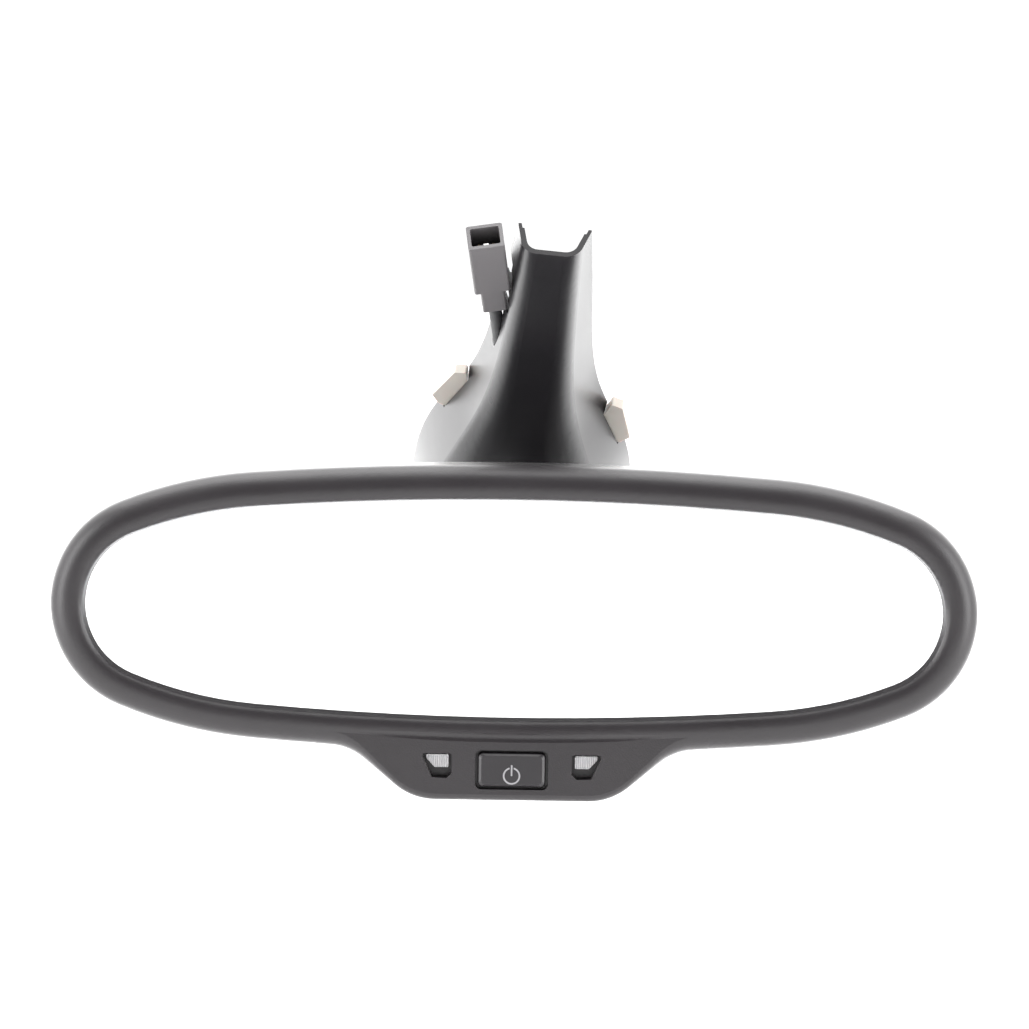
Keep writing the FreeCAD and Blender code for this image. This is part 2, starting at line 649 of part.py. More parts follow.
# ---------------------------------------------------------------- electronics
def make_control_board():
    board = new_body("control_board")
    outline = (draw_rectangle, "board_length", "board_height")
    slab(board, outline, BOARD_FRONT, "board_thickness", BOARD_X, "0")
    for x, z in BOARD_SCREWS:
        slab(board, (draw_disc, "1.2"), BOARD_FRONT, "board_thickness", x, z, cut=True)
    in_head(board)

    chips = [(-11, -3, 8, 8, 1.3), (-19, 7, 4, 5, 1.6), (15, -7, 6, 5, 1.8), (18, 3, 3, 3, 1.1)]
    made = []
    for index, (x, z, width, height, thick) in enumerate(chips):
        made.append(box(f"chip_{index}", width, thick, height, f"{BOARD_X} + {x}", BOARD_BACK, z))
    for index, (x, z) in enumerate(((-19, -3), (-11, 7), (-3, 8))):
        made.append(rod(f"capacitor_{index}", 2.4, 5.5, f"{BOARD_X} + {x}", BOARD_BACK, z))
    in_head(group("board_components", made))

    x, z = SENSOR_SPOT
    front = evaluate(CARRIER_FRONT) + 0.2
    depth = evaluate(BOARD_FRONT) - front
    in_head(group("glare_sensor", [rod("glare_sensor_can", 2.4, depth, x, front, z)]))

    x, z = LIGHT_PIPE_SPOT
    in_head(group("ambient_sensor", [box("ambient_chip", 3.2, 1.2, 2.4, x, BOARD_BACK, z)]))
    start = evaluate(BOARD_BACK) + 1.6
    plate = size("head_depth") - size("shell_wall")
    lens_back = size("head_depth") + 0.9
    pipe = Part.makeCylinder(2.6, plate - start, V(x, start, z), V(0, 1, 0))
    window = Part.makeCylinder(4.15, lens_back - plate, V(x, plate, z), V(0, 1, 0))
    rear_edges = [edge for edge in window.Edges if edge.BoundBox.YMin > lens_back - 0.01]
    window = window.makeFillet(0.8, rear_edges)
    in_head(feature("ambient_light_pipe", pipe.fuse(window).removeSplitter()))

    plug_front = evaluate(BOARD_FRONT) - 1.8
    edge_x = size("board_inner_edge")
    middle = edge_x + PLUG_WIDTH / 2
    in_head(group("lead_plug", [box("plug_block", PLUG_WIDTH, 5.0, 8.0, middle, plug_front, 0)]))


def lamp_lens(side):
    """A lens on a flange, with a window that is fluted from top to bottom."""
    width, height = size("lens_width"), size("lens_height")
    middle, level = side * size("lamp_spacing"), -size("lamp_height")
    border, flange_front, window_front, flute_count = 1.0, 1.6, -2.0, 12
    pitch = width / flute_count
    window = lamp_prism(side, 0.0, window_front, flange_front - window_front)
    for index in range(flute_count):
        x = middle + (index - (flute_count - 1) / 2) * pitch
        flute = Part.makeCylinder(0.48 * pitch, height, V(x, window_front, level - height / 2))
        window = window.fuse(flute)
    window = window.common(lamp_prism(side, 0.0, window_front - 1, 1 + flange_front - window_front))
    corner = V(middle - width / 2 - border, flange_front, level - height / 2 - border)
    flange = Part.makeBox(width + 2 * border, 1.2, height + 2 * border, corner)
    return window.fuse(flange).removeSplitter()


def make_switch_parts():
    height = "-control_height"
    board = new_body("switch_board")
    slab(board, (draw_rectangle, "48", "9.6"), "switch_board_depth", "1.2", "0", height)
    in_head(board)
    for side, name in ((-1, "left"), (1, "right")):
        spot = f"{side} * lamp_spacing"
        chip = box(f"{name}_led_chip", 3.2, 1.8, 2.8, spot, "switch_board_depth - 1.8", "-lamp_height")
        in_head(group(f"{name}_led", [chip]))
        in_head(feature(f"{name}_lens", lamp_lens(side)))

    casing = box("switch_casing", 6, 3, 6, 0, "switch_board_depth - 3", height)
    plunger = rod("switch_plunger", 1.5, 0.85, 0, "switch_board_depth - 3.85", height)
    in_head(fuse("button_switch", [casing, plunger]))
    mat = new_body("button_mat")
    mat_depth = "switch_board_depth - 2.4"
    slab(mat, (draw_rectangle, "15", "8"), "2.4", mat_depth, "0", height)
    slab(mat, (draw_rectangle, "13", "6.6"), "2.4", mat_depth, "0", height, cut=True)
    in_head(mat)


def make_power_button():
    width, height = size("button_width"), size("button_height")
    middle = -size("control_height")
    face = -size("pod_face") - 0.4
    sections = [(0.9, 0.7, face), (0.25, 0.25, face + 0.45), (0.0, 0.0, face + 1.3)]
    wires = [rounded_rectangle(width - 2 * dx, height - 2 * dz, 1.1, 0, middle, y)
             for dx, dz, y in sections]
    cap = Part.makeLoft(wires, True, True)
    back = face + 1.3
    skirt = Part.Face(rounded_rectangle(width, height, 1.1, 0, middle, back)).extrude(V(0, 2.2 - back, 0))
    flange_front = size("shell_wall") - size("pod_face") + 0.1
    flange = Part.Face(rounded_rectangle(width + 2.6, height + 2.6, 1.2, 0, middle, flange_front))
    cap = cap.fuse(skirt).fuse(flange.extrude(V(0, 1.0, 0)))
    hollow = rounded_rectangle(width - 3, height - 3, 0.8, 0, middle, face + 2)
    cap = cap.cut(Part.Face(hollow).extrude(V(0, 8, 0)))
    cap = cap.fuse(Part.makeCylinder(1.6, 3.2 - face - 1.8, V(0, face + 1.8, middle), V(0, 1, 0)))

    # generic standby symbol: an open ring with an upright bar, inlaid in the face
    radius, stroke, depth = size("symbol_radius"), size("symbol_stroke"), 0.2
    centre = V(0, face, middle - 1.5)
    ring = Part.makeCylinder(radius, depth, centre, V(0, 1, 0))
    ring = ring.cut(Part.makeCylinder(radius - stroke, depth, centre, V(0, 1, 0)))
    gap = Part.makeBox(2.6 * stroke, depth, 2 * radius, centre - V(1.3 * stroke, 0, 0))
    bar = Part.makeBox(stroke, depth, 1.25 * radius, centre - V(stroke / 2, 0, 0))
    symbol = ring.cut(gap).fuse(bar)
    in_head(feature("button_symbol", symbol))
    in_head(feature("power_button", cap.cut(symbol).removeSplitter()))


# ---------------------------------------------------------------- ball joint
def spherical_zone(inner, outer, front, back):
    """Part of a spherical shell round the ball's centre, between two planes."""
    centre = V(0, size("ball_depth"), 0)
    shell = Part.makeSphere(outer, centre).cut(Part.makeSphere(inner, centre))
    keep = Part.makeCylinder(2 * outer, back - front, centre + V(0, front, 0), V(0, 1, 0))
    return shell.common(keep)


def make_ball_joint():
    centre = V(0, size("ball_depth"), 0)
    play, wall = size("bearing_play"), size("bearing_wall")
    liner_inner = size("ball_radius") + play
    cup_inner = liner_inner + wall + play
    socket_inner = cup_inner + wall + play
    liner = spherical_zone(liner_inner, liner_inner + wall, -6.0, 5.4)
    in_head(feature("ball_liner", liner))
    in_head(feature("friction_cup", spherical_zone(cup_inner, cup_inner + wall, -6.2, 5.7)))

    front, flange = size("flange_depth"), size("flange_thickness")
    back = centre.y + 8.5
    outer = size("socket_radius")
    plate = rounded_rectangle(52, 26, 4, 0, 0, front)
    body = Part.Face(plate).extrude(V(0, flange, 0))
    body = body.fuse(Part.makeCylinder(outer, back - front, V(0, front, 0), V(0, 1, 0)))
    body = body.cut(Part.makeSphere(socket_inner, centre))
    body = body.cut(Part.makeCylinder(socket_inner, centre.y - front, V(0, front, 0), V(0, 1, 0)))
    slope = math.tan(math.radians(size("socket_opening_angle")))
    mouth = Part.makeCone(0.0, 12 * slope, 12, centre, V(0, 1, 0))
    body = body.cut(mouth)
    for x, z in SOCKET_SCREWS:
        body = body.cut(Part.makeCylinder(1.3, flange, V(x, front, z), V(0, 1, 0)))
    in_head(feature("ball_socket", body.removeSplitter()))

    cap_back = centre.y - 3.5
    cap = Part.makeCylinder(socket_inner - 0.05, cap_back - front - 0.6, V(0, front + 0.6, 0), V(0, 1, 0))
    cap = cap.cut(Part.makeSphere(socket_inner, centre))
    cap = cap.cut(Part.makeCylinder(5.6, 20, V(0, front - 5, 0), V(0, 1, 0)))
    for angle in (0, 90, 180, 270):
        notch = Part.makeBox(2.2, 1.4, 2.2, V(6.9, front + 0.5, -1.1))
        notch.rotate(V(), V(0, 1, 0), angle)
        cap = cap.cut(notch)
    in_head(feature("socket_cap", cap))


def pipe_route(points, radii):
    """An open wire of straight runs joined by tangent arcs."""
    edges = []
    last = points[0]
    for index in range(1, len(points) - 1):
        corner, radius = points[index], radii[index - 1]
        before = (points[index - 1] - corner).normalize()
        after = (points[index + 1] - corner).normalize()
        half = before.getAngle(after) / 2
        reach = radius / math.tan(half)
        middle = (before + after).normalize()
        start, end = corner + before * reach, corner + after * reach
        crown = corner + middle * (radius / math.sin(half) - radius)
        edges.append(Part.LineSegment(last, start).toShape())
        edges.append(Part.Arc(start, crown, end).toShape())
        last = end
    edges.append(Part.LineSegment(last, points[-1]).toShape())
    return Part.Wire(edges)


def easy_radii(points):
    """The largest arcs a route allows: 0.45 of the shorter run over the half turn's tangent."""
    radii = []
    for index in range(1, len(points) - 1):
        before = points[index] - points[index - 1]
        after = points[index + 1] - points[index]
        turn = before.getAngle(after)
        radii.append(0.45 * min(before.Length, after.Length) / math.tan(turn / 2))
    return radii


def tube(points, radii, radius):
    """A round solid that follows a route."""
    route = pipe_route(points, radii)
    along = (points[1] - points[0]).normalize()
    section = Part.Face(Part.Wire(Part.makeCircle(radius, points[0], along)))
    return route.makePipe(section), route.Length


BALL_CENTRE = HEAD.multVec(V(0, size("ball_depth"), 0))
ELBOW = BALL_CENTRE + V(0, size("elbow_reach"), 0)
ARM_TOP = SEAT.multVec(V(0, -2, 12))


def connector_frame():
    """The connector lies beside the stem cover, rolled over until one edge nears the windscreen."""
    roll = math.radians(size("connector_roll"))
    half_width, half_height = size("connector_width") / 2, size("connector_height") / 2
    lift = 0.3 + half_width * math.sin(roll) + half_height * math.cos(roll)
    turn = FreeCAD.Rotation(V(0, 0, 1), size("connector_lean"))
    turn = turn * FreeCAD.Rotation(V(0, 1, 0), size("connector_roll"))
    place = V(size("connector_x"), size("connector_y"), lift)
    return SEAT.multiply(FreeCAD.Placement(place, turn))


CONNECTOR = connector_frame()


def harness_points():
    """The harness's route: ball, elbow, out of the arm's side, round the foot, connector."""
    inside_arm = ELBOW + (ARM_TOP - ELBOW) * 0.55
    along_seat = [SEAT.multVec(V(*p)) for p in ((-16.5, 3, 10), (-10.8, 20, 4.9), (-9.4, 33, 4.9))]
    tail = size("connector_tail")
    into_connector = [CONNECTOR.multVec(V(0, y, 0)) for y in (-tail - 9, -tail)]
    return [BALL_CENTRE - V(0, 7.6, 0), ELBOW, inside_arm] + along_seat + into_connector


def make_arm_and_harness():
    points = harness_points()
    radii = easy_radii(points)
    radii[0] = size("elbow_radius")
    harness, length = tube(points, radii, size("harness_radius"))
    section = math.pi * size("harness_radius") ** 2
    print("harness length", round(length, 1), "volume over section x length",
          round(harness.Volume / (section * length), 4), "arc radii", [round(r, 1) for r in radii])
    feature("harness", harness)

    neck_end = BALL_CENTRE + V(0, 19.5, 0)
    ball = Part.makeSphere(size("ball_radius"), BALL_CENTRE)
    front = Part.makeBox(40, 20, 40, BALL_CENTRE - V(20, 27, 20))
    ball = ball.cut(front)
    neck = Part.makeCylinder(size("neck_radius"), 19.5, BALL_CENTRE, V(0, 1, 0))
    taper = Part.makeCone(size("neck_radius"), size("arm_radius"), 3, neck_end - V(0, 3, 0), V(0, 1, 0))
    into_foot = ARM_TOP + (ARM_TOP - ELBOW).normalize() * 9
    arm, _ = tube([neck_end, ELBOW, into_foot], [size("elbow_radius")], size("arm_radius"))
    arm = arm.fuse([ball, neck, taper])
    above_foot = Part.makeBox(80, 80, 60, V(-40, -40, size("foot_height") - 60))
    screw_hole = Part.makeCylinder(2.0, 14, V())
    for tool in (above_foot, screw_hole):
        tool.Placement = SEAT
        arm = arm.cut(tool)
    channel, _ = tube(points[:4], radii[:2], size("harness_radius") + 0.6)
    feature("ball_arm", arm.cut(channel).removeSplitter())


# ---------------------------------------------------------------- windscreen foot
def make_foot():
    foot = new_body("mount_foot")
    seat_slab(foot, (draw_disc, "foot_radius"), "0", "foot_height")
    seat_slab(foot, (draw_disc, "foot_bore"), "0", "foot_bore_depth", cut=True)
    seat_slab(foot, (draw_disc, "foot_bore - 0.6"), "0", SPRING_FLOOR, cut=True)
    seat_slab(foot, (draw_disc, "3.6"), SPRING_FLOOR, "2.4", cut=True)
    seat_slab(foot, (draw_disc, "2.1"), SPRING_FLOOR, "foot_height", cut=True)
    on_seat(foot)

    spring = new_body("foot_spring")
    front = "foot_bore_depth + 0.1"
    seat_slab(spring, (draw_disc, "foot_bore - 0.8"), front, "foot_spring_thickness")
    seat_slab(spring, (draw_disc, "4.4"), front, "foot_spring_thickness", cut=True)
    for side in (-1, 1):
        seat_slab(spring, (draw_rectangle, "1.2", "9"), front, "foot_spring_thickness",
                  f"{side * 6.8}", "0", cut=True)
    on_seat(spring)

    screw = new_body("foot_screw")
    seat_slab(screw, (draw_disc, "3.4"), f"{SPRING_FLOOR} + 0.2", "2.2")
    seat_slab(screw, (draw_disc, "2.0"), f"{SPRING_FLOOR} + 2.4", "6")
    seat_slab(screw, (draw_rectangle, "2.2", "2.2"), f"{SPRING_FLOOR} + 0.2", "1.4", cut=True)
    on_seat(screw)


def bracket_plate(margin, start, stop):
    """The bracket's two-eared outline grown by margin, as a plate from start to stop off the glass."""
    right = [(18, -18), (20.5, 0.8), (26.0, 2.6), (28.2, 5.6), (23.8, 18.0), (20.6, 18.8), (18.0, 7.0)]
    points = [V(x, y, start) for x, y in right] + [V(-x, y, start) for x, y in reversed(right)]
    radii = [3, 0.8, 0.6, 0.8, 0.6, 0.6, 2]
    outline = Part.Wire(rounded_corners(points, radii + radii[::-1]))
    if margin:
        outline = outline.makeOffset2D(margin)
    plate = Part.Face(outline).extrude(V(0, 0, stop - start))
    plate.rotate(V(), V(0, 0, 1), size("bracket_turn"))
    return plate


def make_cover_bracket():
    off_glass = 0.3
    plate = bracket_plate(0, off_glass, off_glass + size("bracket_thickness"))
    hole = Part.makeCylinder(size("foot_radius") + 0.3, 10, V(0, 0, -2))
    on_seat(feature("cover_bracket", plate.cut(hole)))


def cover_section(station, shrink, past_end=0.0, sink=0.0):
    """One closed section of the stem cover, wide at the windscreen and narrower at its face.
    The section is shrunk on the inside, and sunk through the windscreen's plane by sink.
    Its turn swings it out of square with the stem."""
    along, half_width, half_face, depth, fillet, turn = station
    slope = math.tan(math.radians(turn))
    flare = (half_width - half_face) * sink / depth
    corners = [
        (-half_width - flare + shrink, -sink),
        (half_width + flare - shrink, -sink),
        (half_face - 0.75 * shrink, depth - shrink),
        (-half_face + 0.75 * shrink, depth - shrink),
    ]
    points = [V(x, along + past_end + slope * x, z) for x, z in corners]
    inner_fillet = fillet - shrink
    return Part.Wire(rounded_corners(points, [0.3, 0.3, inner_fillet, inner_fillet]))


def make_stem_cover():
    top = size("cover_length")
    stations = [
        # along the windscreen, half width at it, half width of the face, depth, fillet, turn
        (-36.0, 32.0, 22.0, 29.5, 17.0, 0.0),
        (-14.0, 30.2, 20.4, 28.0, 16.0, 0.0),
        (4.0, 25.3, 16.2, 24.5, 12.5, 0.0),
        (20.0, 18.7, 11.8, 20.0, 9.2, 0.0),
        (36.0, 15.0, 9.3, 15.6, 6.8, 0.0),
        (54.0, 13.1, 8.1, 12.3, 5.6, 0.0),
        (top, 9.9, 7.2, 9.8, 4.8, size("cover_end_turn")),
    ]
    ends = {0: -1.0, len(stations) - 1: 1.0}

    def hollow(wall):
        wires = [cover_section(s, wall, ends.get(i, 0.0), 2.0) for i, s in enumerate(stations)]
        return Part.makeLoft(wires, True, False)

    cover = Part.makeLoft([cover_section(s, 0.0) for s in stations], True, False)
    cover = cover.cut(hollow(size("cover_wall")))

    # the wall's edges step down to a thin lip where they meet the windscreen at the upper end
    lip_length = 22.0
    near_glass = Part.makeBox(60, lip_length + 5, 2 + size("lip_height"), V(-30, top - lip_length, -2))
    cover = cover.cut(hollow(size("lip_thickness")).common(near_glass))

    # clearance for the bracket's ears, and on the left for the harness and the connector
    clearance = 0.4
    cover = cover.cut(bracket_plate(clearance, -1.0, 0.3 + size("bracket_thickness") + clearance))
    points = harness_points()
    passage, _ = tube(points[3:], easy_radii(points)[3:], size("harness_radius") + clearance)
    wide, high = size("connector_width") + 2 * clearance, size("connector_height") + clearance
    behind = Part.makeBox(wide, size("connector_length") + 2 * clearance, high,
                          V(-wide / 2, -clearance, -size("connector_height") / 2))
    narrow = Part.makeBox(6.6 + 2 * clearance, size("connector_tail") + clearance, high - 0.8,
                          V(-3.3 - clearance, -size("connector_tail") - clearance, -3.2))
    for body in (behind, narrow):
        body.Placement = CONNECTOR.multiply(FreeCAD.Placement())
    to_seat = SEAT.inverse().toMatrix()
    for tool in (passage, behind, narrow):
        tool.transformShape(to_seat)
        for drop in (0.0, 2.0, 4.0):
            slot = tool.copy()
            slot.translate(V(0, 0, -drop))
            cover = cover.cut(slot)

    below = Part.makeBox(200, 200, 100, V(-100, -100, size("cover_bottom") - 100))
    below.Placement = SEAT.inverse()
    cover = cover.cut(below)
    on_seat(feature("stem_cover", cover.removeSplitter()))


# ---------------------------------------------------------------- connector
def make_connector():
    width, height, length = (size("connector_" + word) for word in ("width", "height", "length"))
    wall, socket_depth = 1.0, 12.0

    def block(wide, long, high, start, radius):
        """A block along the connector's length from start, with rounded long edges."""
        corners = [(-1, -1), (1, -1), (1, 1), (-1, 1)]
        points = [V(sx * wide / 2, start, sz * high / 2) for sx, sz in corners]
        return Part.Face(Part.Wire(rounded_corners(points, [radius] * 4))).extrude(V(0, long, 0))

    body = block(width, length, height, 0, 0.7)
    tail = size("connector_tail")
    body = body.fuse(block(6.6, tail, 6.4, -tail, 0.6))
    socket = block(width - 2 * wall, socket_depth + 1, height - 2 * wall, length - socket_depth, 0.5)
    body = body.cut(socket)
    housing = feature("connector_housing", body.removeSplitter())
    housing.Placement = CONNECTOR

    pins = []
    for x in (-1.9, 1.9):
        for z in (-1.2, 1.2):
            pin = Part.makeBox(0.7, 7.0, 0.7, V(x - 0.35, length - socket_depth, z - 0.35))
            pins.append(pin)
    terminals = feature("connector_terminals", Part.makeCompound(pins))
    terminals.Placement = CONNECTOR
    tab = Part.makeBox(1.3, 4.6, 0.9, V(-0.65, length - 5.2, height / 2 - wall - 0.9))
    latch = feature("connector_latch", tab)
    latch.Placement = CONNECTOR


def make_head_lead():
    plug_end = size("board_inner_edge") + PLUG_WIDTH + 0.3
    y = evaluate(BOARD_FRONT) - 0.3
    points = [V(plug_end, y, 1.0), V(-20, y - 0.2, 2.2), V(-10, y + 0.1, 0.6), V(-4.2, y + 0.9, 0)]
    lead, length = tube(points, easy_radii(points), size("lead_radius"))
    print("head lead length", round(length, 1), "arc radii", [round(r, 1) for r in easy_radii(points)])
    in_head(feature("head_lead", lead))


NODES = """front_bezel rear_housing mirror_front_glass mirror_rear_glass cell_seal
electrochromic_gel bus_clip_upper bus_clip_lower glass_pad glass_carrier carrier_screws
control_board board_components board_screws glare_sensor ambient_sensor ambient_light_pipe
lead_plug head_lead switch_board left_led right_led left_lens right_lens button_switch button_mat
power_button button_symbol ball_socket socket_cap socket_screws friction_cup ball_liner ball_arm
harness mount_foot foot_spring foot_screw cover_bracket stem_cover connector_housing
connector_terminals connector_latch""".split()


def export_nodes():
    """Check every object, then write each named piece to its own file."""
    doc.recompute()
    for item in doc.Objects:
        if "Invalid" in item.State or "Error" in item.State:
            raise RuntimeError(f"{item.Label} failed: {item.State}")
    os.makedirs("parts", exist_ok=True)
    for node in NODES:
        piece = doc.getObjectsByLabel(node)[0]
        shape = piece.Shape
        if shape.isNull() or not shape.isValid() or shape.Volume <= 0:
            raise RuntimeError(f"{node} has no valid solid")
        shape.exportStep(f"parts/{node}.step")
        print(f"{node:22s} {len(shape.Solids):2d} solids {shape.Volume:10.1f} mm3")


make_front_bezel()
make_rear_housing()
make_glass_cell()
make_glass_pad()
make_glass_carrier()
screws("carrier_screws", CARRIER_SCREWS, evaluate(CARRIER_FRONT) + 1.3, True, (2.6, 1.2), (1.2, 9))
make_control_board()
screws("board_screws", BOARD_SCREWS, evaluate(BOARD_BACK), False, (2.0, 1.4), (1.0, 4.0))
make_switch_parts()
make_power_button()
make_ball_joint()
screws("socket_screws", SOCKET_SCREWS, size("flange_depth") + size("flange_thickness"), False,
       (2.4, 1.6), (1.1, 6.0))
make_head_lead()
make_arm_and_harness()
make_foot()
make_cover_bracket()
make_stem_cover()
make_connector()
export_nodes()
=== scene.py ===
"""Looks of the interior rearview mirror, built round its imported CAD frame.  Metres, +Z up."""
import json
import math

import bpy
from mathutils import Matrix, Vector


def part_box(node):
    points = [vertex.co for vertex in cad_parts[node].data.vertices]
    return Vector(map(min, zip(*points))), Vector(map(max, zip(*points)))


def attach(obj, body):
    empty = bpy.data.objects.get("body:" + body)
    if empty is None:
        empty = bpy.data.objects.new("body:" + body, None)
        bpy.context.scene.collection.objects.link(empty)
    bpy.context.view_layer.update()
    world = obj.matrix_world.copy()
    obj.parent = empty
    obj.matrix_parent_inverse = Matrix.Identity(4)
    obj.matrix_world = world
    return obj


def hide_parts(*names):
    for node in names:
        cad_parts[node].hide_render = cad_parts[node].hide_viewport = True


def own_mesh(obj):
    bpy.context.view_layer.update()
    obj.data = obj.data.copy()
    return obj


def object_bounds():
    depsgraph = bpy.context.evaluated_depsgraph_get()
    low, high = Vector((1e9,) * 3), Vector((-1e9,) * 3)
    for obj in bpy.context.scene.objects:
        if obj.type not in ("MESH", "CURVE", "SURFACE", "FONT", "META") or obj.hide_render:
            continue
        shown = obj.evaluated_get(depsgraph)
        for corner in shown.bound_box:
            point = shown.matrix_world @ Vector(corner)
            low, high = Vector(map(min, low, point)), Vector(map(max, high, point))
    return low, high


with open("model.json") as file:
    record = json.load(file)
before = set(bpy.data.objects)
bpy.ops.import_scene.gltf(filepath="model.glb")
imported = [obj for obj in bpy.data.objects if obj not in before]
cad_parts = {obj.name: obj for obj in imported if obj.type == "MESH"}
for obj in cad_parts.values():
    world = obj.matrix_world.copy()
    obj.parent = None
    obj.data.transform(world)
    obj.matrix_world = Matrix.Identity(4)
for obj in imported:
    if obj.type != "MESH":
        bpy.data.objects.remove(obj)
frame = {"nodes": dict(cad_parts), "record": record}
CAD_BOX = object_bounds()
MM = 0.001

# The centre of the mirror glass's face, from which the lamps and the camera are placed.
GLASS_LOW, GLASS_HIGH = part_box("mirror_front_glass")
HEAD = Vector(((GLASS_LOW.x + GLASS_HIGH.x) / 2, GLASS_LOW.y, (GLASS_LOW.z + GLASS_HIGH.z) / 2))


# ---------------------------------------------------------------- material building blocks
class Shade:
    """A node material built up one step at a time round one principled shader."""

    def __init__(self, name, color, roughness, **constants):
        # The name asked for: Blender numbers the material's own if the CAD file has brought one like it.
        self.name = name
        self.material = bpy.data.materials.new(name)
        self.material.use_nodes = True
        self.tree = self.material.node_tree
        self.shader = self.tree.nodes["Principled BSDF"]
        self.shader.inputs["Base Color"].default_value = (*color, 1.0)
        self.shader.inputs["Roughness"].default_value = roughness
        for socket, value in constants.items():
            self.shader.inputs[socket.replace("_", " ")].default_value = value
        self.place = self.tree.nodes.new("ShaderNodeTexCoord").outputs["Object"]
        self.normal = None

    def node(self, kind, **inputs):
        """A new node, with each named input linked to a socket or set to a constant."""
        made = self.tree.nodes.new(kind)
        for socket, value in inputs.items():
            target = made.inputs[socket.replace("_", " ")]
            if isinstance(value, bpy.types.NodeSocket):
                self.tree.links.new(value, target)
            else:
                target.default_value = value
        return made

    def drive(self, socket, source):
        """Link a value to one of the shader's own inputs."""
        self.tree.links.new(source, self.shader.inputs[socket])
        return self

    def stretch(self, scale):
        """Object coordinates scaled differently along each axis."""
        return self.node("ShaderNodeMapping", Vector=self.place, Scale=scale).outputs["Vector"]

    def noise(self, per_metre, detail=2.0, place=None):
        made = self.node("ShaderNodeTexNoise", Vector=place or self.place, Scale=per_metre, Detail=detail)
        return made.outputs["Fac"]

    def cells(self, per_metre, place=None):
        made = self.node("ShaderNodeTexVoronoi", Vector=place or self.place, Scale=per_metre)
        return made.outputs["Distance"]

    def remap(self, value, low, high, to_low, to_high):
        made = self.node("ShaderNodeMapRange", Value=value, From_Min=low, From_Max=high,
                         To_Min=to_low, To_Max=to_high)
        return made.outputs["Result"]

    def color(self, factor, first, second):
        """Mottle the base colour between two colours."""
        mix = self.tree.nodes.new("ShaderNodeMix")
        mix.data_type = "RGBA"
        self.tree.links.new(factor, mix.inputs["Factor"])
        mix.inputs["A"].default_value = (*first, 1.0)
        mix.inputs["B"].default_value = (*second, 1.0)
        return self.drive("Base Color", mix.outputs["Result"])

    def rough(self, pattern, smoothest, roughest, low=0.3, high=0.7):
        """Vary the roughness with a pattern whose values mostly lie between low and high."""
        return self.drive("Roughness", self.remap(pattern, low, high, smoothest, roughest))

    def bump(self, height, strength, depth_mm):
        """Relief on top of whatever relief the surface already has."""
        made = self.node("ShaderNodeBump", Height=height, Strength=strength, Distance=depth_mm * MM)
        if self.normal:
            self.tree.links.new(self.normal, made.inputs["Normal"])
        self.normal = made.outputs["Normal"]
        return self.drive("Normal", self.normal)

    def edge_gloss(self, start, full, roughness, ior):
        """A clear skin that only shows where the surface turns away from the eye."""
        facing = self.node("ShaderNodeLayerWeight", Blend=0.5).outputs["Facing"]
        self.shader.inputs["Coat Roughness"].default_value = roughness
        self.shader.inputs["Coat IOR"].default_value = ior
        return self.drive("Coat Weight", self.remap(facing, start, full, 0.0, 1.0))


def grained_plastic(name, dark, light, roughness, grain_mm, depth_mm, strength=0.5, **constants):
    """Moulded plastic with a fine spark-eroded grain and faint handling wear."""
    wear = 0.04
    shade = Shade(name, dark, roughness, **constants)
    shade.color(shade.noise(45.0), dark, light)
    shade.rough(shade.noise(60.0, detail=1.0), roughness - wear, roughness + wear, low=0.1, high=0.9)
    shade.bump(shade.noise(1000.0 / grain_mm, detail=3.0), strength, depth_mm)
    shade.bump(shade.cells(700.0 / grain_mm), 0.6 * strength, depth_mm)
    return shade


def bare_metal(name, dark, light, roughness, brushed=(1, 1, 1)):
    """Bare metal with fine scratches along one direction."""
    shade = Shade(name, dark, roughness, Metallic=1.0)
    shade.color(shade.noise(60.0, detail=4.0), dark, light)
    lines = shade.noise(900.0, detail=3.0, place=shade.stretch(brushed))
    shade.rough(lines, smoothest=roughness - 0.08, roughest=roughness + 0.12)
    shade.bump(lines, strength=0.25, depth_mm=0.02)
    return shade


# ---------------------------------------------------------------- materials, by family
def outer_plastics():
    """The head's and the stem's black mouldings, a touch glossier towards their outlines."""
    moulded_black = {"dark": (0.0125, 0.0108, 0.0121), "light": (0.0185, 0.0160, 0.0178)}
    bezel = grained_plastic(
        "bezel_plastic", **moulded_black, roughness=0.40, grain_mm=0.30, depth_mm=0.05, strength=0.6,
        Specular_IOR_Level=0.36)
    bezel.edge_gloss(start=0.6, full=1.0, roughness=0.30, ior=1.6)
    housing = grained_plastic(
        "housing_plastic", **moulded_black, roughness=0.36, grain_mm=0.32, depth_mm=0.03, strength=0.4)
    housing.edge_gloss(start=0.55, full=0.95, roughness=0.30, ior=1.7)
    button = grained_plastic(
        "button_plastic", (0.0105, 0.0092, 0.0106), (0.0150, 0.0130, 0.0151),
        roughness=0.33, grain_mm=0.25, depth_mm=0.015, strength=0.3, Specular_IOR_Level=0.36)
    cover = grained_plastic(
        "cover_plastic", (0.0045, 0.0040, 0.0050), (0.0065, 0.0058, 0.0072),
        roughness=0.30, grain_mm=0.22, depth_mm=0.006, strength=0.15, Specular_IOR_Level=0.22)
    cover.edge_gloss(start=0.27, full=0.65, roughness=0.30, ior=1.78)
    return [bezel, housing, button, cover]


